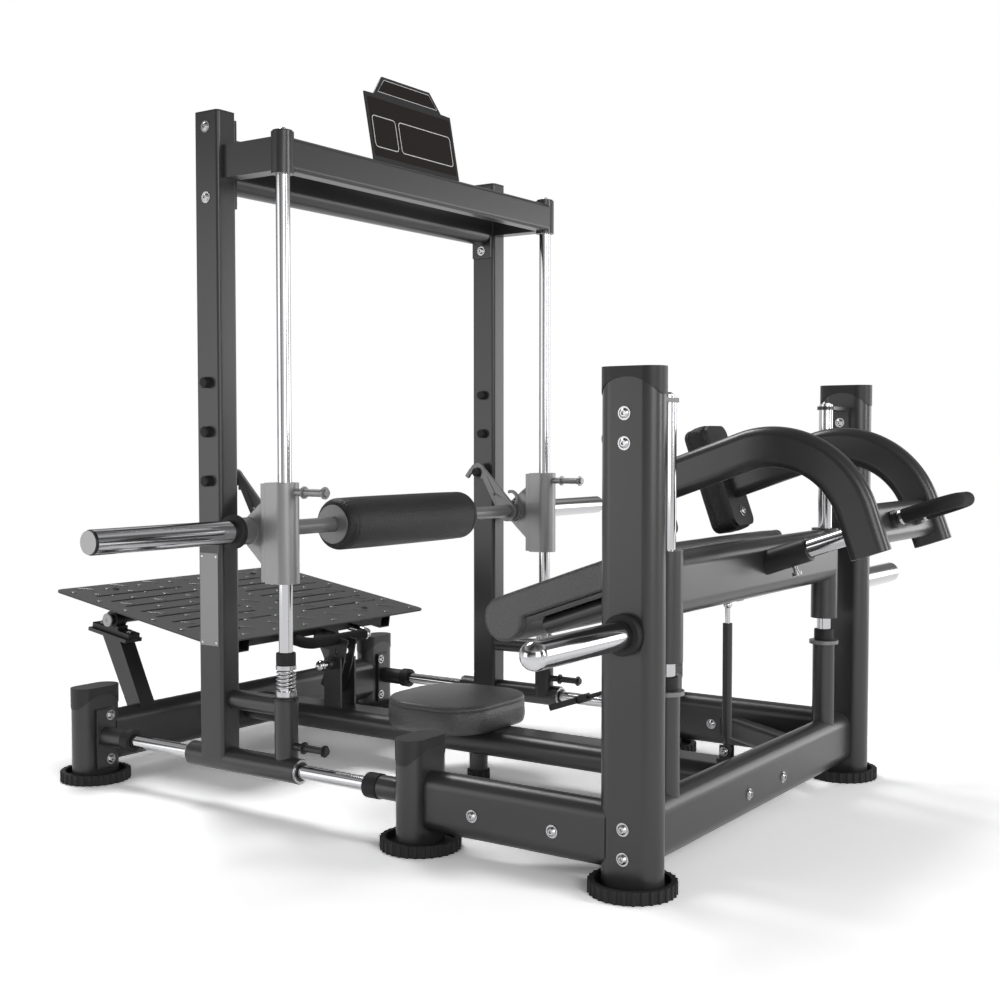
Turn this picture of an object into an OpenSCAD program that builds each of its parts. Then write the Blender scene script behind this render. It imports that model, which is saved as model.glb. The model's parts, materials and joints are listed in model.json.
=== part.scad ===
// Hip thrust machine: plate-loaded bar on a gantry that rolls on floor rails,
// tilting footplate, low seat, and a height-adjustable back frame with shoulder arms.
// Millimetres. +X runs from the footplate end to the mast end, +Z is up.
// Origin: on the floor, on the centre plane, at the middle of the overall length.

/* [Base frame] */
// Mast centres, ahead of the origin
mast_x = 647.5; // [600:0.5:700]
// Mast, post and rail centres, each side of the centre plane
base_y = 514; // [490:1:540]
// Height of the two tall masts
mast_h = 930; // [860:1:1000]
// Height of the four short posts
post_h = 222; // [200:1:250]
// Short front posts, behind the masts
front_post_dx = 475; // [430:1:520]
// Rear posts, behind the masts
rear_post_dx = 1448; // [1400:1:1500]
// Long side of the flat-oval tube
tube_w = 120; // [100:1:130]
// Short side of the flat-oval tube
tube_t = 60; // [50:1:70]
// Wall of every tube
wall = 3; // [2:0.5:4]
// Radius of the floor rails and of the gantry guide rods
rail_r = 15; // [12:0.5:18]
// Height of the floor rails
rail_z = 106; // [100:1:112]

/* [Gantry] */
// Upright centres, behind the masts
upright_dx = 1030; // [990:1:1070]
// Height of the uprights
upright_h = 1503; // [1400:1:1600]
// Guide rods, ahead of the uprights
rod_dx = 190; // [180:1:200]
// Guide rods, inward of the rail centres
rod_in = 8; // [4:1:18]
// Lowest catch peg
peg_z = 713; // [690:1:740]
// Spacing of the catch pegs
peg_pitch = 106; // [90:1:115]

/* [Bar] */
// Bar axis, ahead of the uprights
bar_dx = 98; // [92:1:104]
// Bar axis height at rest
bar_z = 608; // [590:1:626]
// Half length of the bar over its weight sleeves
bar_half = 943; // [880:1:1000]
// Radius of the weight sleeves and the storage horns
sleeve_r = 25; // [24:0.5:26]
// Radius of the roller pad
pad_r = 61; // [50:1:70]
// Half length of the roller pad
pad_half = 250; // [200:1:290]

/* [Back frame] */
// Guide tube crossing height at the masts
back_z = 540.5; // [530:0.5:550]
// Slope of the guide tube and back pad
incline = 19.5; // [15:0.5:24]
// Mast guide rods, each side of the centre plane
mrod_y = 388; // [380:1:396]
// Arms, each side of the centre plane
arm_y = 184; // [160:1:210]
// Half width of the back pad
pad_w2 = 335; // [280:1:345]

/* [Footplate] */
// Tread plate length
plate_l = 575; // [520:1:600]
// Tread plate width
plate_w = 808; // [740:1:820]
// Slope of the tread plate
plate_tilt = 9.1; // [6:0.1:12]
// Footplate hinge, behind the masts
hinge_dx = 1545; // [1520:1:1560]
// Height of the footplate hinge
hinge_z = 357; // [345:1:370]

/* [Hidden] */
$fn = 40;
run_gap = 0.05; // radial running fit
join_gap = 0.05; // between pieces of one body
slip_gap = 0.6; // between faces that pass
mrod_r = 16;
bar_r = 17;
beam_z = 98;
spine_top = beam_z + tube_t / 2;
foot_h = 24;
foot_floor = 10;
front_post_x = mast_x - front_post_dx;
rear_post_x = mast_x - rear_post_dx;
up_x = mast_x - upright_dx;
up_w = 72;
up_t = 55;
up_y = base_y;
rod_x = up_x + rod_dx;
rod_y = base_y - rod_in;
rod_low = 205;
bar_x = up_x + bar_dx;
slv_r = 27;
slv_x0 = up_x - 84;
slv_x1 = rod_x + 47;
top_z = upright_h - 107.5;
collar_y = up_y + 43;
peg_r = 12;
hook_reach = norm([up_x - bar_x, peg_z - bar_z]);
hook_lean = atan2(peg_z - bar_z, up_x - bar_x);
hook_y = base_y - 52;
hinge_x = mast_x - hinge_dx;
plate_w0 = 28.6;
pin_rad = 430;
pin_ang = 7;
pin_r = 8;
pin_x = hinge_x + pin_rad * cos(plate_tilt + pin_ang);
pin_z = hinge_z - pin_rad * sin(plate_tilt + pin_ang);
shaft_r = 12;
strut_y = 366;
gas_x = mast_x - 60;
gas_z = spine_top + 21;
slide_r = 18;
slide_out = 40;
arm_pin_s = 84;
arm_w = 78;
arm_t = 40;
arm_h = 205;
bend_r = 176;
bend_s = 134;
cross_s = bend_s + bend_r;
arm_s0 = -72;
pad_rise = 15;
pad_t2 = 120;
lever_x = mast_x - 287;
lever_z = 266;

// ---- shared shapes ----
module oval2(w, t) {
  square([w - t, t], center = true);
  translate([(w - t) / 2, 0]) circle(d = t);
  translate([(t - w) / 2, 0]) circle(d = t);
}

module oval_ring(w, t) {
  difference() {
    oval2(w, t);
    oval2(w - 2 * wall, t - 2 * wall);
  }
}

module box_ring(w, t) {
  difference() {
    square([w, t], center = true);
    square([w - 2 * wall, t - 2 * wall], center = true);
  }
}

module round_sq(w, t, r) {
  square([w - 2 * r, t], center = true);
  square([w, t - 2 * r], center = true);
  for (x = [-1, 1], y = [-1, 1]) translate([x * (w / 2 - r), y * (t / 2 - r)]) circle(r = r);
}

// child 2D shape pushed along X: its x lies along Y, its y along Z
module along_x(x0, x1, y, z) {
  translate([x0, y, z]) rotate([90, 0, 90]) linear_extrude(x1 - x0) children();
}

// child 2D shape pushed along Y: its x lies along X, its y along Z
module along_y(y0, y1, x, z) {
  translate([x, y1, z]) rotate([90, 0, 0]) linear_extrude(y1 - y0) children();
}

module up_from(z0, z1, x, y) {
  translate([x, y, z0]) linear_extrude(z1 - z0) children();
}

module both_sides() {
  children();
  mirror([0, 1, 0]) children();
}

module side_copy(s) {
  if (s < 0) mirror([0, 1, 0]) children();
  else children();
}

// frame of the sloping guide tube: local x runs up the slope, local z is square to it
module on_slope() {
  translate([mast_x, 0, back_z]) rotate([0, -incline, 0]) children();
}

// frame of the footplate at its hinge
module on_plate() {
  translate([hinge_x, 0, hinge_z]) rotate([0, plate_tilt, 0]) children();
}

module post_shape(along) {
  rotate([0, 0, along == "x" ? 0 : 90]) children();
}

module cap_on(x, y, z, along) {
  translate([x, y, z]) rotate([0, 0, along == "x" ? 0 : 90]) {
    difference() {
      translate([0, 0, -49]) linear_extrude(49) oval2(tube_w + 3, tube_t + 3);
      translate([0, 0, -50]) linear_extrude(46) oval2(tube_w + 2 * join_gap, tube_t + 2 * join_gap);
      translate([0, 0, -92]) rotate([90, 0, 0]) cylinder(r = 74, h = tube_t + 20, center = true, $fn = 72);
    }
  }
}

// button-head screw, head pointing along local +Z
module button_head(r) {
  difference() {
    union() {
      cylinder(r = r * 1.35, h = 1.5);
      cylinder(r = r, h = 3);
      translate([0, 0, 3]) cylinder(r1 = r, r2 = r * 0.62, h = r * 0.36);
    }
    translate([0, 0, 3]) cylinder(r = r * 0.42, h = r, $fn = 6);
  }
}

module screw_y(x, y, z, dir, r = 9) {
  translate([x, y, z]) rotate([dir > 0 ? -90 : 90, 0, 0]) button_head(r);
}

module screw_x(x, y, z, dir, r = 9) {
  translate([x, y, z]) rotate([0, dir * 90, 0]) button_head(r);
}

module foot_disc(r, h, n) {
  linear_extrude(h) {
    circle(r = r - 3, $fn = 64);
    for (i = [0 : n - 1]) rotate([0, 0, i * 360 / n]) translate([r - 4, 0]) circle(r = 4, $fn = 14);
  }
}

// ---- base frame ----
module masts() {
  color("#484848") both_sides()
    up_from(foot_floor, mast_h - 4 - join_gap, mast_x, base_y) oval_ring(tube_w, tube_t);
}

module short_posts() {
  color("#484848") both_sides() {
    for (x = [front_post_x, rear_post_x])
      up_from(foot_floor, post_h - 4 - join_gap, x, base_y) post_shape("y") oval_ring(tube_w, tube_t);
  }
}

module post_caps() {
  color("#2d2d2d") both_sides() {
    cap_on(mast_x, base_y, mast_h, "x");
    cap_on(front_post_x, base_y, post_h, "y");
    cap_on(rear_post_x, base_y, post_h, "y");
  }
}

module feet() {
  color("#262626") {
    both_sides() for (x = [mast_x, front_post_x, rear_post_x])
      translate([x, base_y, 0]) difference() {
        foot_disc(81, foot_h, 30);
        up_from(foot_floor - join_gap, foot_h + 1, 0, 0) circle(r = 69, $fn = 72);
      }
    translate([mast_x - 700, 0, 0]) foot_disc(27, foot_h - join_gap, 12);
  }
}

module side_beams() {
  color("#484848") both_sides() difference() {
    along_x(front_post_x + tube_t / 2 + join_gap, mast_x - 40, base_y, beam_z)
      rotate(90) oval_ring(tube_w, tube_t);
    up_from(0, 300, mast_x, base_y) oval2(tube_w + 2 * join_gap, tube_t + 2 * join_gap);
  }
}

module cross_beams() {
  color("#484848") {
    along_y(tube_t / 2 + join_gap - base_y, base_y - tube_t / 2 - join_gap, mast_x, beam_z)
      rotate(90) oval_ring(tube_w, tube_t);
    difference() {
      along_y(40 - base_y, base_y - 40, rear_post_x, beam_z) rotate(90) oval_ring(tube_w, tube_t);
      both_sides() up_from(0, 300, rear_post_x, base_y) rotate(90)
        oval2(tube_w + 2 * join_gap, tube_t + 2 * join_gap);
    }
  }
}

module spine() {
  color("#484848") {
    along_x(rear_post_x + tube_t / 2 + join_gap, mast_x - tube_t / 2 - join_gap, 0, beam_z)
      oval_ring(tube_w, tube_t);
    up_from(foot_h, beam_z - tube_t / 2 - join_gap, mast_x - 700, 0) circle(r = 22);
  }
}

module base_brackets() {
  color("#484848") {
    // corner braces from the side beams to the front beam
    both_sides() difference() {
      translate([mast_x - 300, base_y - 10, beam_z - 8]) rotate([0, 0, -33]) along_x(0, 360, 0, 0) difference() {
        round_sq(40, 54, 12);
        round_sq(40 - 2 * wall, 54 - 2 * wall, 12 - wall);
      }
      translate([mast_x - 400, base_y - tube_t / 2 - join_gap, 0]) cube([400, 100, 300]);
      translate([mast_x - tube_t / 2 - join_gap, 0, 0]) cube([200, 600, 300]);
    }
    // gas spring clevis
    translate([gas_x, 0, spine_top + join_gap]) {
      translate([-17, -14, 0]) cube([34, 28, 5]);
      for (s = [-1, 1]) difference() {
        translate([-12, s * 9 - 2, 5]) cube([24, 4, 29 - join_gap]);
        translate([0, 0, 21 - join_gap]) rotate([90, 0, 0]) cylinder(r = 5, h = 60, center = true);
      }
    }
    translate([gas_x, 0, gas_z]) rotate([90, 0, 0]) cylinder(r = 5 - join_gap, h = 30, center = true);
    // footplate adjuster bracket
    difference() {
      translate([pin_x - 27, 0, 0]) {
        for (s = [-1, 1]) translate([0, s * 27 - 3, spine_top + join_gap]) cube([54, 6, pin_z + 14 - spine_top]);
        translate([27, -30, pin_z]) rotate([90, 0, 0]) cylinder(r = 14, h = 20);
      }
      translate([pin_x, 0, pin_z]) rotate([90, 0, 0]) cylinder(r = pin_r + run_gap, h = 120, center = true);
    }
    // release lever post
    difference() {
      translate([lever_x - 10, -13, spine_top + join_gap]) cube([20, 26, lever_z + 10 - spine_top]);
      translate([lever_x - 20, -7, lever_z - 20]) cube([40, 14, 60]);
    }
    translate([lever_x, 0, lever_z]) rotate([90, 0, 0]) cylinder(r = 4, h = 13.9, center = true);
  }
}

module floor_rails() {
  color("#d8d8d8") both_sides()
    along_x(rear_post_x + tube_t / 2 + join_gap, front_post_x - tube_t / 2 - join_gap, base_y, rail_z)
      circle(r = rail_r);
}

module rail_mounts() {
  color("#484848") both_sides() {
    difference() {
      union() {
        translate([rear_post_x + tube_t / 2 + join_gap, base_y - 24, rail_z - 76]) cube([8, 48, 140]);
        along_x(rear_post_x + tube_t / 2 + 8, rear_post_x + 112, base_y, rail_z) circle(r = 22);
        along_x(front_post_x - 97, front_post_x - tube_t / 2 - join_gap, base_y, rail_z) circle(r = 24);
      }
      along_x(rear_post_x, front_post_x, base_y, rail_z) circle(r = rail_r + join_gap);
    }
  }
}

module rail_buffers() {
  color("#262626") both_sides() difference() {
    union() {
      along_x(rear_post_x + 112 + join_gap, rear_post_x + 139, base_y, rail_z) circle(r = 26);
      along_x(front_post_x - 132, front_post_x - 97 - join_gap, base_y, rail_z) circle(r = 26);
    }
    along_x(rear_post_x, front_post_x, base_y, rail_z) circle(r = rail_r + join_gap);
  }
}

module mast_rods() {
  color("#d8d8d8") both_sides() up_from(170, mast_h - 48, mast_x, mrod_y) circle(r = mrod_r);
}

module rod_fixings() {
  color("#484848") both_sides() {
    difference() {
      union() {
        up_from(130, 342, mast_x, mrod_y) circle(r = 25);
        up_from(334, 342, mast_x, mrod_y) circle(r = 33);
      }
      up_from(100, 400, mast_x, mrod_y) circle(r = mrod_r + join_gap);
      along_y(300, 480, mast_x, beam_z) rotate(90) oval2(tube_w + 2 * join_gap, tube_t + 2 * join_gap);
    }
    difference() {
      union() {
        translate([mast_x - 20, mrod_y, mast_h - 60]) cube([40, base_y - tube_t / 2 - join_gap - mrod_y, 8]);
        up_from(mast_h - 60, mast_h - 52, mast_x, mrod_y) circle(r = 20);
        translate([mast_x - 20, base_y - tube_t / 2 - join_gap - 8, mast_h - 100]) cube([40, 8, 44]);
      }
      up_from(0, mast_h, mast_x, mrod_y) circle(r = mrod_r + join_gap);
    }
  }
}

module rod_buffers() {
  color("#262626") both_sides() difference() {
    up_from(342 + join_gap, 368, mast_x, mrod_y) circle(r = 22);
    up_from(300, 400, mast_x, mrod_y) circle(r = mrod_r + join_gap);
  }
}

module storage_horns() {
  color("#d8d8d8") both_sides() {
    translate([mast_x, base_y + tube_t / 2 + join_gap, 463]) rotate([-90, 0, 0]) {
      cylinder(r = sleeve_r - 2, h = 18);
      translate([0, 0, 18]) cylinder(r = sleeve_r, h = 270, $fn = 64);
      translate([0, 0, 288]) intersection() {
        sphere(r = sleeve_r, $fn = 64);
        translate([-40, -40, 0]) cube([80, 80, 40]);
      }
    }
  }
}

module horn_collars() {
  color("#262626") both_sides() difference() {
    along_y(base_y + tube_t / 2 + 2, base_y + tube_t / 2 + 18, mast_x, 463) circle(r = 37);
    along_y(base_y, base_y + 100, mast_x, 463) circle(r = sleeve_r - 2 + join_gap);
  }
}

module gas_cylinder() {
  color("#262626") difference() {
    union() {
      up_from(gas_z + 29, gas_z + 269, gas_x, 0) circle(r = 10);
      up_from(gas_z, gas_z + 30, gas_x, 0) circle(r = 5);
      translate([gas_x, 0, gas_z]) rotate([90, 0, 0]) cylinder(r = 9, h = 13, center = true);
    }
    translate([gas_x, 0, gas_z]) rotate([90, 0, 0]) cylinder(r = 5 + join_gap, h = 20, center = true);
    up_from(gas_z + 34, gas_z + 300, gas_x, 0) circle(r = 5 + run_gap);
  }
}

module plate_struts() {
  color("#484848") both_sides() {
    difference() {
      along_y(strut_y - 22, strut_y + 22, 0, 0)
        polygon([[rear_post_x - 24, beam_z + 30], [rear_post_x + 29, beam_z + 30],
          [hinge_x + 26, hinge_z - 25], [hinge_x - 34, hinge_z - 25]]);
      along_y(0, 600, rear_post_x, beam_z) rotate(90) oval2(tube_w + 2 * join_gap, tube_t + 2 * join_gap);
      along_y(strut_y - 19, strut_y + 19, 0, 0)
        polygon([[rear_post_x - 20, beam_z], [rear_post_x + 25, beam_z],
          [hinge_x + 22, hinge_z - 20], [hinge_x - 30, hinge_z - 20]]);
      on_plate() translate([-200, 0, -43 - join_gap]) cube([400, 600, 200]);
    }
    on_plate() translate([-70, strut_y - 26, -43]) cube([140, 52, 9]);
  }
}
module pillow_blocks() {
  color("#3c3c3c") on_plate() both_sides() difference() {
    union() {
      translate([-68, strut_y - 20, join_gap - 34]) cube([136, 36, 12]);
      translate([-27, strut_y - 16, -26]) cube([54, 32, 14]);
      along_y(strut_y - 16, strut_y + 16, 0, 0) circle(r = 22);
    }
    along_y(0, 600, 0, 0) circle(r = shaft_r + run_gap);
  }
}
module seat_outline() {
  hull() {
    for (x = [-188, -78]) {
      for (y = [-60, 60]) translate([x, y]) circle(r = 90, $fn = 64);
    }
  }
}

module seat_pad() {
  color("#4a4a4a") translate([mast_x - 640, 0, spine_top + join_gap]) linear_extrude(70) seat_outline();
}

module base_bolts() {
  color("#c8c8c8") {
    both_sides() {
      for (z = [65, 118, mast_h - 134, mast_h - 82]) screw_y(mast_x - 3, base_y + tube_t / 2 + join_gap, z, 1);
      for (x = [mast_x - 329, mast_x - 150]) screw_y(x, base_y + tube_t / 2 + join_gap, 91, 1);
      screw_y(mast_x - 329, base_y - tube_t / 2 - join_gap, 91, -1);
      screw_x(mast_x + tube_t / 2 + join_gap, 86, 88, 1);
      for (z = [rail_z - 56, rail_z + 48])
        screw_x(rear_post_x + tube_t / 2 + 8 + 2 * join_gap, base_y - 14, z, 1);
      for (z = [mast_h - 88]) screw_y(mast_x, base_y - tube_t / 2 - 8 - 2 * join_gap, z, -1, 8);
      translate([mast_x, mrod_y, mast_h - 48 + join_gap]) button_head(10);
      for (u = [-50, 50]) on_plate() translate([u, strut_y - 2, 2 * join_gap - 22]) button_head(7);
    }
  }
}

// ---- rolling gantry ----
module uprights() {
  color("#484848") both_sides() difference() {
    up_from(rail_z, upright_h - 3 - join_gap, up_x, up_y) difference() {
      round_sq(up_w, up_t, 9);
      round_sq(up_w - 2 * wall, up_t - 2 * wall, 9 - wall);
    }
    along_x(slv_x0 - 10, slv_x1, base_y, rail_z) circle(r = slv_r + join_gap);
    for (i = [0 : 2])
      along_y(up_y - 60, up_y + 60, up_x, peg_z + i * peg_pitch) circle(r = peg_r + join_gap);
  }
}

module rail_sleeves() {
  color("#484848") both_sides() {
    difference() {
      union() {
        along_x(slv_x0, slv_x1, base_y, rail_z) circle(r = slv_r);
        up_from(rail_z, 260, rod_x, rod_y) circle(r = 25);
        along_x(up_x + up_w / 2 + join_gap, rod_x - 5, rod_y, 237) circle(r = 21);
      }
      along_x(slv_x0 - 10, slv_x1 + 10, base_y, rail_z) circle(r = rail_r + run_gap);
      up_from(rod_low, 300, rod_x, rod_y) circle(r = rail_r + join_gap);
    }
  }
}

module gantry_rings() {
  color("#d8d8d8") both_sides() {
    difference() {
      union() {
        along_x(slv_x0 - 3, slv_x0 - join_gap, base_y, rail_z) circle(r = 25.5);
        along_x(slv_x1 + join_gap, slv_x1 + 3, base_y, rail_z) circle(r = 25.5);
      }
      along_x(slv_x0 - 10, slv_x1 + 10, base_y, rail_z) circle(r = 20.5);
    }
    difference() {
      union() {
        up_from(260 + join_gap, 271, rod_x, rod_y) circle(r = 22);
        up_from(317, 326, rod_x, rod_y) circle(r = 22);
      }
      up_from(250, 400, rod_x, rod_y) circle(r = rail_r + join_gap);
    }
  }
}

module top_frame() {
  color("#484848") {
    both_sides() {
      difference() {
        union() {
          up_from(top_z - 41, top_z + 46, rod_x, rod_y) circle(r = 24);
          translate([up_x + up_w / 2 + join_gap, rod_y - 20, top_z - 35])
            cube([rod_dx - up_w / 2 - 5, 40, 70]);
        }
        up_from(top_z - 50, top_z + 40, rod_x, rod_y) circle(r = rail_r + join_gap);
      }
    }
    difference() {
      along_y(-rod_y, rod_y, rod_x, top_z) difference() {
        round_sq(44, 70, 9);
        round_sq(44 - 2 * wall, 70 - 2 * wall, 9 - wall);
      }
      both_sides() up_from(top_z - 50, top_z + 60, rod_x, rod_y) circle(r = 24 + join_gap);
    }
  }
}

module rear_top_beam() {
  color("#484848") {
    along_y(up_t / 2 + 8 + 2 * join_gap - up_y, up_y - up_t / 2 - 8 - 2 * join_gap, up_x, top_z)
      rotate(90) oval_ring(tube_w, tube_t);
    both_sides()
      translate([up_x - 30, up_y - up_t / 2 - 8 - join_gap, top_z - 95]) cube([60, 8, 190]);
  }
}

module guide_rods() {
  color("#d8d8d8") both_sides() up_from(rod_low + 1, top_z + 38, rod_x, rod_y) circle(r = rail_r);
}

module spring_turns(r, wire, z0, turns, pitch) {
  for (i = [0 : turns - 1])
    translate([0, 0, z0 + i * pitch]) rotate_extrude($fn = 36) translate([r, 0]) circle(r = wire, $fn = 14);
}

module buffer_springs() {
  color("#c8c8c8") both_sides() translate([rod_x, rod_y, 0]) {
    spring_turns(rail_r + 3.5, 2.5, 273.6, 7, 6.8);
  }
}

module buffer_rubbers() {
  color("#262626") both_sides() difference() {
    up_from(326 + join_gap, 353, rod_x, rod_y) circle(r = 21);
    up_from(300, 400, rod_x, rod_y) circle(r = rail_r + join_gap);
  }
}

module catch_pegs() {
  // the upper pegs stop short of the hooks' plane, so the shut hooks pass them on the way up
  color("#262626") both_sides() for (i = [0 : 2]) {
    y0 = i == 0 ? up_y - 64 : hook_y + 11;
    y1 = up_y + 40;
    translate([up_x, y0, peg_z + i * peg_pitch]) rotate([-90, 0, 0]) {
      cylinder(r = peg_r, h = y1 - y0);
      translate([0, 0, -3]) cylinder(r1 = peg_r - 3, r2 = peg_r, h = 3);
      translate([0, 0, y1 - y0]) cylinder(r1 = peg_r, r2 = peg_r - 3, h = 3);
    }
  }
}

module band_peg(x, y, z) {
  along_x(x, x + 90, y, z) circle(r = 8);
  along_x(x + 24, x + 27, y, z) circle(r = 13);
  along_x(x + 81, x + 84, y, z) circle(r = 13);
}

module gantry_pegs() {
  color("#2d2d2d") both_sides() band_peg(rod_x + 25 + join_gap, rod_y, 155);
}

module sign_panel() {
  color("#303030") translate([rod_x + 10, 0, top_z + 35.2]) rotate([0, -10, 0]) {
    rotate([90, 0, 90]) linear_extrude(4)
      polygon([[-225, 0], [98, 0], [97, 158], [61, 159], [26, 206], [-155, 206], [-193, 159], [-227, 158]]);
  }
}

module name_plate() {
  color("#b0b0b0") {
    difference() {
      translate([up_x - 27, -up_y - up_t / 2 - 1.6, 356]) cube([54, 1.5, 201]);
      for (x = [-21, 21], z = [363, 550])
        translate([up_x + x, -up_y - up_t / 2, z]) rotate([90, 0, 0]) cylinder(r = 2.2, h = 20, center = true);
    }
    for (x = [-21, 21], z = [363, 550])
      translate([up_x + x, -up_y - up_t / 2 - join_gap, z]) rotate([90, 0, 0]) {
        cylinder(r = 2, h = 1.6);
        translate([0, 0, 1.6]) cylinder(r1 = 4, r2 = 2.5, h = 1.2);
      }
  }
}

module gantry_caps() {
  color("#2d2d2d") both_sides() {
    up_from(upright_h - 3, upright_h + 1, up_x, up_y) round_sq(up_w, up_t, 9);
    translate([rod_x, rod_y, top_z + 46 + join_gap]) cylinder(r = 21, h = 3);
  }
}

module gantry_bolts() {
  color("#c8c8c8") both_sides() {
    for (z = [top_z - 75, top_z + 75]) {
      screw_y(up_x, up_y + up_t / 2 + join_gap, z, 1);
      screw_y(up_x, up_y - up_t / 2 - 8 - 2 * join_gap, z, -1);
    }
    translate([rod_x, rod_y, top_z + 49 + 2 * join_gap]) button_head(9);
  }
}

// ---- carriage on the guide rods ----
module bearing_blocks() {
  color("#9c9c9c") both_sides() {
    difference() {
      union() {
        up_from(bar_z - 109, bar_z + 104, rod_x, rod_y) circle(r = 30);
        translate([rod_x - 30, rod_y - 30, bar_z - 109]) cube([30, 60, 213]);
      }
      up_from(bar_z - 200, bar_z + 200, rod_x, rod_y) circle(r = rail_r + run_gap);
    }
    band_peg(rod_x + 29.5, rod_y, bar_z + 84);
  }
}

module bar_brackets() {
  color("#9c9c9c") both_sides() difference() {
    union() {
      translate([rod_x - 42, rod_y - 30, bar_z - 107]) cube([12 - join_gap, 60, 209]);
      along_y(rod_y - 28, rod_y + 46, bar_x, bar_z) circle(r = 29);
      for (y = [-16, 10])
        along_y(rod_y + y, rod_y + y + 6, 0, 0) polygon([[rod_x - 42, bar_z - 80], [rod_x - 42, bar_z + 72],
          [bar_x - 8, bar_z + 26], [bar_x - 8, bar_z - 26]]);
    }
    along_y(0, 700, bar_x, bar_z) circle(r = bar_r + run_gap);
  }
}

// ---- bar ----
module bar() {
  color("#8a8a8a") along_y(3 - bar_half, bar_half - 3, bar_x, bar_z) circle(r = bar_r);
}

module weight_sleeves() {
  color("#d8d8d8") both_sides() difference() {
    union() {
      along_y(collar_y + 16 + join_gap, bar_half - 6, bar_x, bar_z) circle(r = sleeve_r, $fn = 64);
      along_y(bar_half - 6, bar_half, bar_x, bar_z) circle(r = sleeve_r - 2, $fn = 64);
    }
    along_y(0, bar_half - 3 + join_gap, bar_x, bar_z) circle(r = bar_r + join_gap);
  }
}

module sleeve_collars() {
  color("#262626") both_sides() difference() {
    along_y(collar_y, collar_y + 16, bar_x, bar_z) circle(r = 36);
    along_y(0, bar_half, bar_x, bar_z) circle(r = bar_r + join_gap);
  }
}

// band of a ring about the bar axis, from the peg's bearing round by sweep degrees
module bar_band(r0, r1, sweep) {
  far = 2 * hook_reach;
  translate([bar_x, bar_z]) intersection() {
    difference() {
      circle(r = r1, $fn = 120);
      circle(r = r0, $fn = 120);
    }
    polygon([[0, 0], [far * cos(hook_lean), far * sin(hook_lean)],
      [far * cos(hook_lean + sweep), far * sin(hook_lean + sweep)]]);
  }
}
module hooks() {
  slot_r = peg_r + slip_gap;
  color("#808080") both_sides() {
    difference() {
      along_y(hook_y - 4, hook_y + 4, 0, 0) {
        translate([bar_x, bar_z]) circle(r = 28);
        translate([up_x, peg_z]) circle(r = 25);
        polygon([[up_x + 13.5, peg_z - 10], [up_x + 17.5, peg_z + 17], [bar_x + 20.5, bar_z + 19], [bar_x - 20.5, bar_z - 19]]);
        bar_band(hook_reach, hook_reach + 24.5, 13);
      }
      along_y(hook_y - 20, hook_y + 20, 0, 0) {
        translate([up_x, peg_z]) circle(r = slot_r);
        bar_band(hook_reach - peg_r - slip_gap / 2, hook_reach + peg_r + slip_gap / 2, 40);
        translate([up_x - slot_r, peg_z - 60]) square([2 * slot_r, 60]);
        translate([bar_x, bar_z]) circle(r = bar_r + join_gap);
        translate([(up_x + bar_x) / 2 + 8, (peg_z + bar_z) / 2 - 8]) circle(r = 4);
      }
    }
    // arched grip strap beside the hook
    difference() {
      along_y(hook_y - 4, hook_y + 4, 0, 0) translate([bar_x + 12, bar_z + 33]) circle(r = 25);
      along_y(hook_y - 10, hook_y + 10, 0, 0) {
        translate([bar_x + 12, bar_z + 33]) circle(r = 17);
        translate([bar_x - 60, bar_z - 60]) square([200, 79]);
        translate([bar_x - 60, bar_z + 19]) square([64.5, 60]);
        translate([bar_x, bar_z]) circle(r = 28 + join_gap);
      }
    }
  }
}

module roller_pad() {
  color("#242424") difference() {
    along_y(-pad_half, pad_half, bar_x, bar_z) circle(r = pad_r, $fn = 72);
    along_y(-pad_half - 10, pad_half + 10, bar_x, bar_z) circle(r = 26);
  }
}

module roller_ends() {
  color("#888888") difference() {
    union() {
      along_y(-pad_half - 3, pad_half + 3, bar_x, bar_z) circle(r = 26 - join_gap);
      both_sides() along_y(pad_half + join_gap, pad_half + 3, bar_x, bar_z) circle(r = 45, $fn = 64);
    }
    along_y(-pad_half - 10, pad_half + 10, bar_x, bar_z) circle(r = bar_r + run_gap);
  }
}

// ---- back frame ----
module back_carriage() {
  color("#484848") {
    both_sides() difference() {
      up_from(back_z - 146.5, back_z + 59.5, mast_x, mrod_y) circle(r = 30);
      up_from(0, mast_h, mast_x, mrod_y) circle(r = mrod_r + run_gap);
    }
    difference() {
      along_y(-mrod_y, mrod_y, mast_x, back_z - 2.5) rotate(90) oval_ring(tube_w, tube_t);
      both_sides() up_from(0, mast_h, mast_x, mrod_y) circle(r = 30 + join_gap);
      on_slope() rotate([0, 90, 0]) cylinder(r = 25 + join_gap, h = 400, center = true);
    }
    translate([gas_x - 12, -14, gas_z + 318.1]) cube([42 - join_gap, 28, 12]);
  }
}

module guide_tube() {
  color("#303030") on_slope() difference() {
    translate([-45, 0, 0]) rotate([0, 90, 0]) cylinder(r = 25, h = 170);
    rotate([0, 90, 0]) cylinder(r = slide_r + run_gap, h = 600, center = true);
    translate([arm_pin_s, 0, -30]) cylinder(r = 5 + run_gap, h = 28);
  }
}

module pad_supports() {
  color("#3a3a3a") {
    difference() {
      on_slope() both_sides() translate([-335, 300, -1]) rotate([0, 90, 0]) difference() {
        cylinder(r = 17, h = 330);
        translate([0, 0, -1]) cylinder(r = 17 - wall, h = 340);
      }
      along_y(-mrod_y, mrod_y, mast_x, back_z - 2.5) rotate(90)
        oval2(tube_w + 2 * join_gap, tube_t + 2 * join_gap);
      on_slope() translate([-28, -400, -100]) cube([200, 800, 200]);
    }
    on_slope() difference() {
      translate([-364, 10 - pad_w2, 16 + join_gap]) cube([298, 2 * pad_w2 - 20, 10]);
      translate([-150, -30, 0]) cube([100, 60, 40]);
    }
  }
}

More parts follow.
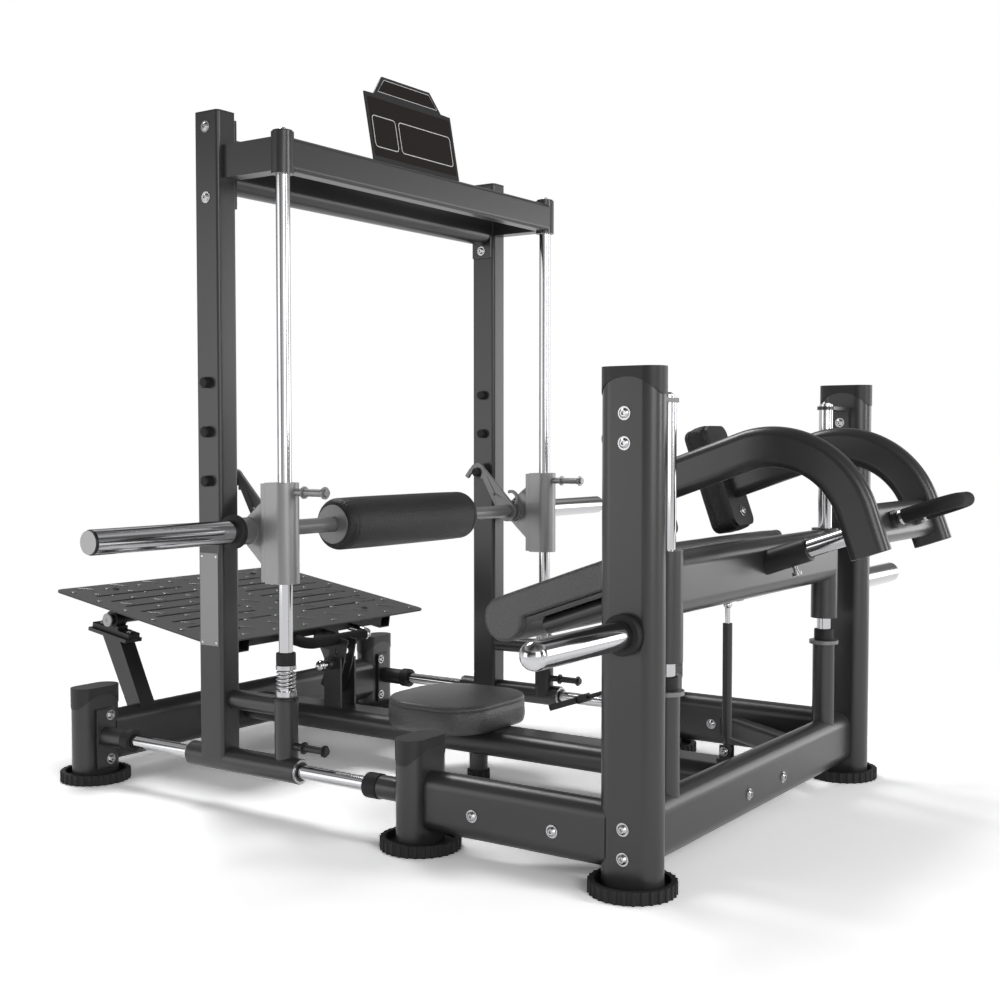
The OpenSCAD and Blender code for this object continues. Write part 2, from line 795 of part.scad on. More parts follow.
module back_pad() {
  color("#4a4a4a") on_slope() along_y(-pad_w2, pad_w2, 0, 0) {
    translate([-414, 37]) circle(r = 47);
    translate([-414, 27]) square([340, 57]);
    translate([-80, 27]) square([20, 43]);
    translate([-74, 70]) circle(r = 14);
  }
}

module gas_rod() {
  color("#c8c8c8") {
    up_from(gas_z + 60, gas_z + 303, gas_x, 0) circle(r = 5);
    translate([gas_x, 0, gas_z + 309]) sphere(r = 9);
  }
}

// ---- telescoping arms ----
module slide_tube() {
  color("#d8d8d8") on_slope() difference() {
    translate([-45, 0, 0]) rotate([0, 90, 0]) cylinder(r = slide_r, h = 45 + cross_s - arm_t / 2 - join_gap);
    translate([-50, 0, 0]) rotate([0, 90, 0]) cylinder(r = slide_r - wall, h = 500);
    for (i = [-2 : 2]) translate([arm_pin_s - i * slide_out, 0, -30]) cylinder(r = 5.6, h = 25);
  }
}

module arms() {
  color("#484848") on_slope() {
    both_sides() {
      translate([arm_s0, arm_y, arm_h]) rotate([90, 0, 90]) linear_extrude(bend_s - arm_s0) rotate(90)
        oval_ring(arm_w, arm_t);
      translate([bend_s, arm_y, arm_h - bend_r]) rotate([90, 0, 0]) rotate_extrude(angle = 90, $fn = 72)
        translate([bend_r, 0]) oval_ring(arm_w, arm_t);
      translate([cross_s, arm_y, -56]) linear_extrude(56 + arm_h - bend_r) oval_ring(arm_w, arm_t);
    }
    along_y(arm_t / 2 + join_gap - arm_y, arm_y - arm_t / 2 - join_gap, cross_s, 0) rotate(90)
      oval_ring(arm_w, arm_t);
  }
}

module shoulder_plates() {
  color("#242424") on_slope() both_sides()
    along_x(arm_s0 - 8, arm_s0 - join_gap, arm_y, arm_h + pad_rise) round_sq(98, 2 * pad_t2 - 8, 20);
}

module shoulder_pads() {
  color("#242424") on_slope() both_sides()
    along_x(arm_s0 - 65, arm_s0 - 8 - join_gap, arm_y, arm_h + pad_rise) round_sq(104, 2 * pad_t2, 22);
}

module arm_handle() {
  color("#c8c8c8") on_slope() both_sides() {
    translate([cross_s + arm_t / 2 + join_gap, 70, 0]) rotate([0, 90, 0]) {
      cylinder(r = 17, h = 10);
      cylinder(r = 11, h = 22);
      translate([0, 0, 17]) cylinder(r = 14.5, h = 5);
    }
  }
}

module grip_u(x0, x1, y2, r, bend) {
  both_sides() {
    along_x(x0, x1 - bend, y2, 0) circle(r = r);
    translate([x1 - bend, y2 - bend, 0]) rotate_extrude(angle = 90) translate([bend, 0]) circle(r = r);
  }
  along_y(bend - y2, y2 - bend, x1, 0) circle(r = r);
}

module arm_grip() {
  color("#242424") on_slope() grip_u(cross_s + arm_t / 2 + 22 + 2 * join_gap, cross_s + 136, 70, 14, 44);
}

// ---- footplate ----
module footplate() {
  color("#5a5a5a") on_plate() translate([0, 0, plate_w0 + join_gap]) linear_extrude(4) difference() {
    union() {
      translate([-200, 25 - plate_w / 2]) square([plate_l, plate_w - 50]);
      translate([-175, -plate_w / 2]) square([plate_l - 50, plate_w]);
      for (x = [-175, plate_l - 225], y = [-1, 1]) translate([x, y * (plate_w / 2 - 25)]) circle(r = 25);
    }
    for (i = [0 : 6], y = [-1, 1])
      translate([i * 56 - 100, y * 208]) rotate(90) oval2(284, 10);
  }
}

module plate_frame() {
  color("#3c3c3c") on_plate() {
    both_sides() difference() {
      along_x(-170, plate_l - 230, 268, plate_w0 - 20) box_ring(40, 40);
      along_y(200, 400, 0, 0) circle(r = shaft_r + join_gap);
    }
    along_y(join_gap - 248, 248 - join_gap, plate_l - 250, plate_w0 - 14) box_ring(40, 28);
    along_y(join_gap - 248, 248 - join_gap, -150, plate_w0 - 14) box_ring(40, 28);
    along_y(-392, 392, 0, 0) circle(r = shaft_r);
    // perforated height plates
    for (s = [-1, 1]) along_y(s * 16 - 2.5, s * 16 + 2.5, 0, 0) difference() {
      union() {
        intersection() {
          difference() {
            circle(r = pin_rad + 26, $fn = 120);
            circle(r = pin_rad - 26, $fn = 120);
          }
          polygon([[0, 0], [600 * cos(16.9), -600 * sin(16.9)], [600, 0], [600, 6]]);
        }
        translate([plate_l - 268, 1.6]) square([152, 12]);
        translate([plate_l - 230 + join_gap, -24]) square([100, 30]);
      }
      for (i = [-1 : 2]) rotate(-(pin_ang + i * 4)) translate([pin_rad, 0]) circle(r = pin_r + slip_gap);
      translate([plate_l - 155, 8]) circle(r = 14 + join_gap);
      translate([plate_l - 270 - join_gap, plate_w0 - 28 - join_gap]) square([40 + 2 * join_gap, 40]);
    }
  }
}

module foot_handle() {
  color("#c8c8c8") on_plate() {
    translate([plate_l - 230 + join_gap, -120, 8]) rotate([0, 90, 0]) cylinder(r = 10, h = 20);
    translate([plate_l - 230 + join_gap, 120, 8]) rotate([0, 90, 0]) cylinder(r = 10, h = 50);
    translate([plate_l - 180, 95, 8]) rotate_extrude(angle = 90) translate([25, 0]) circle(r = 10);
    along_y(90, 95, plate_l - 155, 8) circle(r = 14);
    // foam grip
    translate([plate_l - 210 + 2 * join_gap, -120, 8]) rotate([0, 90, 0]) cylinder(r = 14, h = 30);
    translate([plate_l - 180, -95, 8]) rotate([0, 0, -90]) rotate_extrude(angle = 90) translate([25, 0]) circle(r = 14);
    along_y(-95, 90 - join_gap, plate_l - 155, 8) circle(r = 14);
  }
}

// ---- small controls ----
module arm_pin() {
  color("#c8c8c8") on_slope() translate([arm_pin_s, 0, 0]) {
    translate([0, 0, -40]) cylinder(r = 5, h = 40 - slide_r - slip_gap);
    translate([0, 0, -44]) cylinder(r = 10, h = 7);
  }
}

module foot_pin() {
  color("#d8d8d8") translate([pin_x, 0, pin_z]) rotate([90, 0, 0]) {
    translate([0, 0, 18.5 + slip_gap]) cylinder(r = pin_r, h = 49);
    translate([0, 0, 72]) sphere(r = 14);
  }
}

module release_lever() {
  color("#202020") translate([lever_x, 0, lever_z]) rotate([0, -incline, 0]) {
    difference() {
      rotate([90, 0, 0]) cylinder(r = 10, h = 12, center = true);
      rotate([90, 0, 0]) cylinder(r = 4 + run_gap, h = 20, center = true);
    }
    translate([-125, 0, 0]) rotate([0, 90, 0]) cylinder(r = 5, h = 116);
    translate([-144, -10, -9]) cube([26, 20, 18]);
    translate([-226, 0, 0]) linear_extrude(14, center = true) {
      translate([12, 0]) circle(r = 12);
      polygon([[12, -12], [82, -15], [82, 15], [12, 12]]);
    }
  }
}

masts();
short_posts();
post_caps();
feet();
side_beams();
cross_beams();
spine();
base_brackets();
floor_rails();
rail_mounts();
rail_buffers();
mast_rods();
rod_fixings();
rod_buffers();
storage_horns();
horn_collars();
gas_cylinder();
plate_struts();
pillow_blocks();
seat_pad();
base_bolts();
uprights();
rail_sleeves();
gantry_rings();
top_frame();
rear_top_beam();
guide_rods();
buffer_springs();
buffer_rubbers();
catch_pegs();
gantry_pegs();
sign_panel();
name_plate();
gantry_caps();
gantry_bolts();
bearing_blocks();
bar_brackets();
bar();
weight_sleeves();
sleeve_collars();
hooks();
roller_pad();
roller_ends();
back_carriage();
guide_tube();
pad_supports();
back_pad();
gas_rod();
slide_tube();
arms();
shoulder_plates();
shoulder_pads();
arm_handle();
arm_grip();
footplate();
plate_frame();
foot_handle();
arm_pin();
foot_pin();
release_lever();
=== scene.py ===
"""Hip thrust machine: materials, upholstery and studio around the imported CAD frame. Metres."""
import json
import math

import bpy
from mathutils import Matrix, Vector, noise

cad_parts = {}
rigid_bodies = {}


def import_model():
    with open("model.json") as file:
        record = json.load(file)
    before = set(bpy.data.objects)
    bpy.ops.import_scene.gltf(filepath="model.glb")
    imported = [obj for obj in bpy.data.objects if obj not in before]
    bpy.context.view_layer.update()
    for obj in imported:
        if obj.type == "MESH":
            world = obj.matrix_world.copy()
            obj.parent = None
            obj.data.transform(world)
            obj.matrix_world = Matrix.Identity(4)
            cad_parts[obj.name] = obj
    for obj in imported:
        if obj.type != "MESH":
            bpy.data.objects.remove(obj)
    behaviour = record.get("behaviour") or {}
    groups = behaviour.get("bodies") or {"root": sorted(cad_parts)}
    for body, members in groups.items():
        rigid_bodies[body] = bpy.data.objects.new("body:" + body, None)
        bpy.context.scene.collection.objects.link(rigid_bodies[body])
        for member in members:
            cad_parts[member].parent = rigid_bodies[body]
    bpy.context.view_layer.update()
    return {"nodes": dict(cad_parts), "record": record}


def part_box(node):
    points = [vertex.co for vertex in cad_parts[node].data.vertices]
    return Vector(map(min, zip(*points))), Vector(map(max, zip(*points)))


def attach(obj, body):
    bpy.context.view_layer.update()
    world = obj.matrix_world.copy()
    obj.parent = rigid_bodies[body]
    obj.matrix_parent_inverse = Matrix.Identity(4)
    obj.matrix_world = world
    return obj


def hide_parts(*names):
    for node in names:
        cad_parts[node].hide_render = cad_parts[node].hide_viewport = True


for old in list(bpy.data.objects):
    bpy.data.objects.remove(old)
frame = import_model()
NODES = frame["nodes"]
MM = 0.001

# ---- driving places, read from the frame or repeated from the part's own sizes ----
MAST_X = sum(c.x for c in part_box("masts")) / 2
SLOPE_Z = 0.5405  # height of the back frame's slope above the floor, at the masts
INCLINE = math.radians(19.5)  # of the back frame
PLATE_TILT = math.radians(9.1)  # of the footplate at rest
HINGE = Vector((MAST_X - 1.545, 0, 0.357))  # the footplate's shaft
PLATE_TOP = 0.0327  # the footplate's upper face above that shaft
BAR_X = sum(c.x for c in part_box("bar")) / 2
BAR_Z = sum(c.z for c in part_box("bar")) / 2

SLOPE = Matrix.Translation((MAST_X, 0, SLOPE_Z)) @ Matrix.Rotation(-INCLINE, 4, "Y")
PLATE = Matrix.Translation(HINGE) @ Matrix.Rotation(PLATE_TILT, 4, "Y")
# local (x, y, z) of an upright outline to (x, z, y): the outline stands along the width
STANDING = Matrix(((1, 0, 0, 0), (0, 0, -1, 0), (0, 1, 0, 0), (0, 0, 0, 1)))


# ---- materials ----
def linear(hex_colour):
    """Linear RGBA of an sRGB hex colour such as "484848"."""
    out = []
    for i in (0, 2, 4):
        v = int(hex_colour[i : i + 2], 16) / 255
        out.append(v / 12.92 if v <= 0.04045 else ((v + 0.055) / 1.055) ** 2.4)
    return (*out, 1)


def new_material(name, colour, rough, metal=0.0, specular=0.5):
    mat = bpy.data.materials.new(name)
    mat.use_nodes = True
    shader = mat.node_tree.nodes["Principled BSDF"]
    shader.inputs["Base Color"].default_value = linear(colour)
    shader.inputs["Roughness"].default_value = rough
    shader.inputs["Metallic"].default_value = metal
    shader.inputs["Specular IOR Level"].default_value = specular
    mat.diffuse_color = linear(colour)
    return mat


def add_nodes(owner, *kinds):
    """New shader nodes in a material or a world."""
    return [owner.node_tree.nodes.new("ShaderNode" + k) for k in kinds]


def link(owner, out, socket):
    owner.node_tree.links.new(out, socket)


def bumpy(mat, kind, scale, strength, distance):
    """Grain in the surface from a noise or a cell pattern."""
    coord, tex, bump = add_nodes(mat, "TexCoord", kind, "Bump")
    tex.inputs["Scale"].default_value = scale
    out = "Fac" if kind == "TexNoise" else "Distance"
    bump.inputs["Strength"].default_value = strength
    bump.inputs["Distance"].default_value = distance
    link(mat, coord.outputs["Object"], tex.inputs["Vector"])
    link(mat, tex.outputs[out], bump.inputs["Height"])
    link(mat, bump.outputs["Normal"], mat.node_tree.nodes["Principled BSDF"].inputs["Normal"])


def mottled(mat, colour_a, colour_b, scale):
    """Colour that drifts gently between two tones."""
    coord, tex, mix = add_nodes(mat, "TexCoord", "TexNoise", "Mix")
    mix.data_type = "RGBA"
    tex.inputs["Scale"].default_value = scale
    link(mat, coord.outputs["Object"], tex.inputs["Vector"])
    link(mat, tex.outputs["Fac"], mix.inputs[0])
    mix.inputs[6].default_value = linear(colour_a)
    mix.inputs[7].default_value = linear(colour_b)
    link(mat, mix.outputs[2], mat.node_tree.nodes["Principled BSDF"].inputs["Base Color"])


def make_materials():
    m = {
        "frame_paint": new_material("frame_paint", "3a3a3b", 0.3, specular=0.6),
        "dark_paint": new_material("dark_paint", "2b2b2c", 0.42),
        "silver_paint": new_material("silver_paint", "9f9fa0", 0.34, metal=0.4),
        "tread_paint": new_material("tread_paint", "4c4c4d", 0.4),
        "grey_steel": new_material("grey_steel", "8a8a8b", 0.38, metal=0.35),
        "chrome_bar": new_material("chrome_bar", "c6c6c8", 0.1, metal=1.0),
        "bright_screw": new_material("bright_screw", "bcbcbe", 0.24, metal=1.0),
        "black_rubber": new_material("black_rubber", "272727", 0.6, specular=0.35),
        "black_plastic": new_material("black_plastic", "303031", 0.45, specular=0.4),
        "foam": new_material("foam", "262627", 0.82, specular=0.25),
        "grey_leather": new_material("grey_leather", "484849", 0.36, specular=0.9),
        "black_leather": new_material("black_leather", "222223", 0.48, specular=0.45),
        "plate_face": new_material("plate_face", "9c9c9d", 0.42, metal=0.4),
        # the studs and bars have the plate's own paint; this lighter copy of tread_paint is a painted highlight on
        # them
        "tread_raised": new_material("tread_raised", "7c7c7d", 0.2, metal=0.5),
        "grey_bright": new_material("grey_bright", "c4c4c5", 0.4, metal=0.3),
        "panel_film": new_material("panel_film", "1f1a17", 0.5, specular=0.2),
        "panel_line": new_material("panel_line", "f0f0f0", 0.5),
    }
    mottled(m["frame_paint"], "39393a", "3b3b3c", 6)
    mottled(m["grey_leather"], "343435", "5e5e5f", 260)
    mottled(m["black_leather"], "1a1a1b", "2c2c2d", 300)
    bumpy(m["frame_paint"], "TexNoise", 900, 0.06, 0.0004)
    bumpy(m["dark_paint"], "TexNoise", 900, 0.06, 0.0004)
    bumpy(m["tread_paint"], "TexNoise", 1100, 0.12, 0.0005)
    bumpy(m["black_rubber"], "TexNoise", 700, 0.12, 0.0005)
    bumpy(m["foam"], "TexVoronoi", 900, 0.25, 0.0006)
    bumpy(m["grey_leather"], "TexVoronoi", 300, 0.5, 0.0014)
    bumpy(m["black_leather"], "TexVoronoi", 260, 0.7, 0.0014)
    return m


MAT = make_materials()


def dress_cad():
    """The record's slots on every CAD node, with a fine edge round on the machined and welded pieces."""
    slot_of = {s["node"]: s["material_slot"] for s in frame["record"]["subparts"]}
    # radius of the edge round, in millimetres
    edge = {
        "uprights": 2.5, "rear_top_beam": 2.0, "top_frame": 1.6, "plate_struts": 1.6, "bar_brackets": 1.2,
        "bearing_blocks": 1.6, "pillow_blocks": 1.2, "footplate": 0.8, "plate_frame": 0.8, "sign_panel": 0.8,
        "hooks": 1.0, "base_brackets": 0.8, "gantry_caps": 1.2, "post_caps": 1.2, "horn_collars": 3.0,
        "sleeve_collars": 2.5, "rail_buffers": 2.5, "rod_buffers": 2.5, "buffer_rubbers": 2.5, "roller_ends": 0.8,
        "rail_sleeves": 1.2, "arms": 0.8, "rail_mounts": 1.0, "shoulder_plates": 1.5, "catch_pegs": 0.6,
        "guide_tube": 1.0, "weight_sleeves": 0.8, "gas_cylinder": 0.8, "release_lever": 1.0, "feet": 1.0,
        "back_carriage": 1.0, "short_posts": 0.8, "masts": 0.8, "rod_fixings": 0.8, "gantry_pegs": 0.5,
        "pad_supports": 0.8, "arm_pin": 0.4, "spine": 0.8, "storage_horns": 0.5, "name_plate": 0.2,
    }
    for name, obj in NODES.items():
        obj.data.materials.clear()
        obj.data.materials.append(MAT[slot_of[name]])
        if name in edge:
            round_edges(obj, edge[name] * MM)


def round_edges(obj, width):
    """Rounds the sharp edges, and shades the rest smooth with the flat faces kept flat."""
    weld = obj.modifiers.new("weld", "WELD")
    weld.merge_threshold = 0.00001
    bevel = obj.modifiers.new("edge", "BEVEL")
    bevel.width = width
    bevel.segments = 2
    bevel.limit_method = "ANGLE"
    bevel.angle_limit = math.radians(50)
    bevel.use_clamp_overlap = True
    bevel.harden_normals = False
    obj.data.polygons.foreach_set("use_smooth", [True] * len(obj.data.polygons))
    normal = obj.modifiers.new("normals", "WEIGHTED_NORMAL")
    normal.keep_sharp = False
    normal.weight = 60


# ---- building pieces ----
def add_mesh(name, verts, faces, mat, smooth=True):
    mesh = bpy.data.meshes.new(name)
    mesh.from_pydata([tuple(v) for v in verts], [], faces)
    mesh.validate()
    mesh.polygons.foreach_set("use_smooth", [smooth] * len(mesh.polygons))
    mesh.materials.append(MAT[mat])
    obj = bpy.data.objects.new(name, mesh)
    bpy.context.scene.collection.objects.link(obj)
    return obj


def finish_piece(obj, body):
    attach(obj, body)
    return obj


def loft(rings, flat_ends=False):
    """Vertices and faces of rings joined in order, closed with a fan, or with one flat face, at each end."""
    n = len(rings[0])
    verts = [p for ring in rings for p in ring]
    faces = []
    for i in range(len(rings) - 1):
        for j in range(n):
            k = (j + 1) % n
            faces.append((i * n + j, i * n + k, (i + 1) * n + k, (i + 1) * n + j))
    if flat_ends:
        last = (len(rings) - 1) * n
        return verts, faces + [tuple(range(n))[::-1], tuple(range(last, last + n))]
    for ring, flip in ((0, True), (len(rings) - 1, False)):
        centre = sum(rings[ring], Vector()) / n
        verts.append(centre)
        c = len(verts) - 1
        for j in range(n):
            k = (j + 1) % n
            tri = (ring * n + j, ring * n + k, c)
            faces.append(tri[::-1] if flip else tri)
    return verts, faces


def arc(cx, cy, r, a0, a1, steps):
    """Points of an arc from angle a0 to a1, in degrees."""
    return [
        (cx + r * math.cos(math.radians(a0 + (a1 - a0) * i / steps)),
         cy + r * math.sin(math.radians(a0 + (a1 - a0) * i / steps)))
        for i in range(steps + 1)
    ]


def even_outline(points, count):
    """The closed outline again with evenly spaced points."""
    pts = [Vector(p) for p in points]
    lengths = [(pts[(i + 1) % len(pts)] - p).length for i, p in enumerate(pts)]
    step = sum(lengths) / count
    out, i, passed = [], 0, 0.0
    for k in range(count):
        want = k * step
        while passed + lengths[i] < want - 1e-9:
            passed += lengths[i]
            i += 1
        t = (want - passed) / lengths[i] if lengths[i] else 0
        out.append(pts[i].lerp(pts[(i + 1) % len(pts)], t))
    return out


def inset(outline, d):
    """A counterclockwise convex outline moved inward by d."""
    n = len(outline)
    out = []
    for i, p in enumerate(outline):
        along = (outline[(i + 1) % n] - outline[i - 1]).normalized()
        out.append(p + Vector((-along.y, along.x)) * d)
    return out


def padded_form(name, outline, levels, place, mat, ripple=0.0, flat_ends=False):
    """A stuffed form: each level is (height, inset, share of full size towards the centre)."""
    centre = sum(outline, Vector((0, 0))) / len(outline)
    rings = []
    for height, d, share in levels:
        ring = []
        for p in inset(outline, d):
            q = centre + (p - centre) * share
            v = Vector((q.x, q.y, height))
            if ripple:
                v += noise.noise_vector(v * 14) * ripple
            ring.append(place @ v)
        rings.append(ring)
    verts, faces = loft(rings, flat_ends)
    return add_mesh(name, verts, faces, mat)


def crown(h0, rise, d, steps, sign=1):
    """Levels from the rim at h0 to the middle, rising by rise as a flat dome."""
    out = []
    for i in range(1, steps + 1):
        t = i / (steps + 0.35)
        out.append((h0 + sign * rise * (1 - (1 - t) ** 2.2), d, 1 - t))
    return out


def edge_round(h0, r, sign, steps):
    """Levels of a quarter round of radius r that ends at height h0."""
    levels = []
    for i in range(steps + 1):
        a = math.pi / 2 * i / steps
        levels.append((h0 - sign * r * (1 - math.sin(a)), r * (1 - math.cos(a)), 1))
    return levels


def seam_groove(h, depth, width):
    """Levels of a narrow sewn groove at height h."""
    return [(h - width, 0.0, 1), (h - width * 0.35, depth * 0.5, 1), (h, depth, 1),
            (h + width * 0.35, depth * 0.5, 1), (h + width, 0.0, 1)]


def circle(place, r, z, sides):
    """A ring of points about Z of place."""
    step = 2 * math.pi / sides
    return [place @ Vector((r * math.cos(step * j), r * math.sin(step * j), z)) for j in range(sides)]


def tube_path(points, r, sides=10):
    """Rings of a round wire along points."""
    rings = []
    side = None
    step = 2 * math.pi / sides
    for i, p in enumerate(points):
        t = (points[min(i + 1, len(points) - 1)] - points[max(i - 1, 0)]).normalized()
        if side is None:
            side = t.orthogonal().normalized()
        side = (side - t * side.dot(t)).normalized()
        up = t.cross(side)
        rings.append([p + (side * math.cos(step * j) + up * math.sin(step * j)) * r for j in range(sides)])
    return rings


def join_parts(parts):
    """One vertex and face list from several."""
    verts, faces = [], []
    for v, f in parts:
        base = len(verts)
        verts += v
        faces += [tuple(i + base for i in face) for face in f]
    return verts, faces


# ---- seat ----
def make_seat():
    lo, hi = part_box("seat_pad")
    half = (hi.y - lo.y) / 2
    corner, back = 0.090, 0.118
    rear = lo.x + 0.006 + back
    pts = arc(hi.x - corner, half - corner, corner, 0, 90, 16)
    pts += arc(rear, half - back, back, 90, 180, 16)
    pts += arc(rear, back - half, back, 180, 270, 16)
    pts += arc(hi.x - corner, corner - half, corner, 270, 360, 16)
    outline = even_outline(pts, 168)
    # from the board up: a tucked lower edge, sides that swell a little, the seam, and a crowned top
    z0, z1 = lo.z, hi.z - 0.004
    levels = crown(z0, 0.0, 0.004, 3, -1)[::-1] + [(z0, 0.004, 1), (z0 + 0.003, 0.001, 1)]
    levels += [(z0 + 0.012, -0.001, 1), (z0 + 0.022, -0.0016, 1), (z0 + 0.032, -0.001, 1)]
    levels += seam_groove(z1 - 0.013, 0.0022, 0.0022)
    levels += edge_round(z1, 0.010, 1, 6)
    levels += crown(z1, 0.0045, 0.010, 12)
    seat = padded_form("seat_cushion", outline, levels, Matrix.Identity(4), "grey_leather", ripple=0.0004)
    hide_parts("seat_pad")
    finish_piece(seat, "base")


# ---- back pad ----
def make_back_pad():
    # section along the slope: a round nose at the low end, a flat underside and a square high end
    nose_s, nose_t, nose_r = -0.414, 0.037, 0.047
    top, low, end, end_r, low_r = 0.084, 0.027, -0.060, 0.014, 0.010
    pts = arc(nose_s, nose_t, nose_r, 90, 335, 40)
    pts += [(nose_s + 0.048, low), (-0.25, low)]
    pts += arc(end - low_r, low + low_r, low_r, -90, 0, 5)
    pts += arc(end - end_r, top - end_r, end_r, 0, 90, 6)
    outline = even_outline(pts, 260)
    half = (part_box("back_pad")[1].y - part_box("back_pad")[0].y) / 2
    r, steps = 0.008, 26
    levels = [(-half, r + 0.0016, 1), (-half, r + 0.0008, 1)] + edge_round(-half, r, -1, 6)[::-1]
    levels += seam_groove(r + 0.004 - half, 0.0020, 0.0022)
    for i in range(steps + 1):
        t = -1 + 2 * i / steps
        levels.append((t * (half - 0.030), -0.0022 * (1 - t ** 4), 1))
    levels += seam_groove(half - r - 0.004, 0.0020, 0.0022)
    levels += edge_round(half, r, 1, 6) + [(half, r + 0.0008, 1), (half, r + 0.0016, 1)]
    pad = padded_form("back_cushion", outline, levels, SLOPE @ STANDING, "grey_leather", 0.0004, True)
    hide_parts("back_pad")
    finish_piece(pad, "back_frame")


# ---- shoulder pads ----
def make_shoulder_pads():
    arm_y, pad_t, half_y, half_t, corner = 0.184, 0.220, 0.052, 0.120, 0.022
    front, board = -0.137, -0.08005  # the pad's two faces along the slope
    face, r = front + 0.003, 0.012
    for side, tag in ((-1, "right"), (1, "left")):
        pts = []
        for cx, cy, a in ((1, 1, 0), (-1, 1, 90), (-1, -1, 180), (1, -1, 270)):
            pts += arc(cx * (half_y - corner), cy * (half_t - corner), corner, a, a + 90, 6)
        outline = even_outline(pts, 120)
        # local (y, t, s) to the slope frame
        place = SLOPE @ Matrix(((0, 0, 1, 0), (1, 0, 0, side * arm_y), (0, 1, 0, pad_t), (0, 0, 0, 1)))
        levels = crown(face, 0.003, r, 8, -1)[::-1] + edge_round(face, r, -1, 6)[::-1]
        levels += seam_groove(face + r + 0.004, 0.0016, 0.0018)
        levels += [(front + 0.032, -0.0014, 1), (board - 0.012, -0.0008, 1), (board - 0.003, 0.0006, 1)]
        levels += [(board, 0.003, 1)] + crown(board, 0.0, 0.003, 3)
        pad = padded_form("shoulder_cushion_" + tag, outline, levels, place, "black_leather", ripple=0.0006)
        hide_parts("shoulder_pads")
        finish_piece(pad, "arm_slide")


# ---- roller pad ----
def make_roller():
    lo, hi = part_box("roller_pad")
    half, radius = (hi.y - lo.y) / 2, (hi.z - lo.z) / 2
    outline = [Vector(p) for p in arc(0, 0, radius - 0.001, 0, 360, 96)[:-1]]
    place = Matrix.Translation((BAR_X, 0, BAR_Z)) @ STANDING
    r, bore = 0.020, radius - 0.0275
    levels = [(-half, bore, 1)] + edge_round(-half, r, -1, 8)[::-1]
    levels += seam_groove(r + 0.003 - half, 0.0016, 0.002)
    for i in range(21):
        t = -1 + i / 10
        levels.append((t * (half - 0.032), -0.001 * (1 - t ** 4), 1))
    levels += seam_groove(half - r - 0.003, 0.0016, 0.002)
    levels += edge_round(half, r, 1, 8) + [(half, bore, 1)]
    rings = [[place @ Vector((p.x, p.y, height)) for p in inset(outline, d)] for height, d, _ in levels]
    # the last ring joins the first along the bar, so the sleeve is closed all round
    n = len(outline)
    verts = [p for ring in rings for p in ring]
    faces = []
    for i in range(len(rings)):
        after = (i + 1) % len(rings)
        for j in range(n):
            k = (j + 1) % n
            faces.append((i * n + j, i * n + k, after * n + k, after * n + j))
    roll = add_mesh("roller_cushion", verts, faces, "black_leather")
    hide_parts("roller_pad")
    finish_piece(roll, "roller")


# ---- springs ----
def make_springs():
    lo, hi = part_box("buffer_springs")
    wire, centre_x = 0.0027, (lo.x + hi.x) / 2
    outer = (hi.x - lo.x) / 2 - wire
    rod_y = hi.y - outer - wire
    turns, around, parts = 5, 28, []
    for side in (-1, 1):
        pts = []
        for i in range(turns * around + 1):
            a = 2 * math.pi * i / around
            z = lo.z + wire + (hi.z - lo.z - 2 * wire) * i / (turns * around)
            pts.append(Vector((centre_x + outer * math.cos(a), side * rod_y + outer * math.sin(a), z)))
        parts.append(loft(tube_path(pts, wire)))
    springs = add_mesh("buffer_coils", *join_parts(parts), "bright_screw")
    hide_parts("buffer_springs")
    finish_piece(springs, "gantry")


# ---- footplate tread ----
def dome(place, r, h, sides=16, rings=3):
    """A low round stud standing on the plane z = 0 of place."""
    levels = []
    for i in range(rings + 1):
        a = math.pi / 2 * i / (rings + 0.6)
        levels.append(circle(place, r * math.cos(a), h * math.sin(a) - 0.0003 * (i == 0), sides))
    return loft(levels)


def ridge(place, length, half_w, h, steps=12, across=8):
    """A low bar with pointed ends, along X of place."""
    rings = []
    for i in range(steps + 1):
        t = -1 + 2 * i / steps
        swell = max(0.08, math.sqrt(max(0.0, 1 - abs(t) ** 2.4)))
        ring = []
        for j in range(across + 1):
            a = math.pi * j / across
            y, z = math.cos(a) * half_w * swell, math.sin(a) * h * swell - 0.0002
            ring.append(place @ Vector((t * length / 2, y, z)))
        rings.append(ring)
    return loft(rings)


def make_tread():
    """Studs and slanted bars in rows over the plate, with the bars broken where a slot runs; they carry a lighter
    copy of the plate's paint as a painted highlight.
    """
    pitch_u, pitch_y, first_u, edge_u = 0.1004, 0.1074, -0.158, -0.176
    slot_rows = [-0.100 + 0.056 * i for i in range(7)]
    slot_half, slot_from, slot_to = 0.0062, 0.064, 0.352
    slant = Vector((0.70, 0.714))
    turn = Matrix.Rotation(math.atan2(slant.y, slant.x), 4, "Z")
    parts = []
    for i in range(6):
        u = first_u + pitch_u * i
        for j in range(8):
            parts.append(dome(PLATE @ Matrix.Translation((u, pitch_y * (j - 3.5), PLATE_TOP)), 0.0095, 0.0026))
        for j in range(7):
            middle = Vector((max(u - 0.047, edge_u), pitch_y * (j - 3)))
            runs, run = [], []
            for k in range(55):
                d = -0.027 + 0.001 * k
                q = middle + slant * d
                clear = all(abs(q.x - row) > slot_half or not slot_from < abs(q.y) < slot_to for row in slot_rows)
                if clear:
                    run.append(d)
                elif run:
                    runs.append(run)
                    run = []
            runs.append(run)
            for run in runs:
                if len(run) < 9:
                    continue
                q = middle + slant * (run[0] + run[-1]) / 2
                bar = PLATE @ Matrix.Translation((q.x, q.y, PLATE_TOP)) @ turn
                parts.append(ridge(bar, run[-1] - run[0], 0.0042, 0.0022))
    # the lighter tread material on the studs and bars is a painted highlight
    tread = add_mesh("tread_studs", *join_parts(parts), "tread_raised")
    finish_piece(tread, "foot_tilt")


# ---- small parts ----
def facing(centre, axis):
    """The frame at centre whose Z points along axis."""
    return Matrix.Translation(centre) @ Vector((0, 0, 1)).rotation_difference(Vector(axis)).to_matrix().to_4x4()


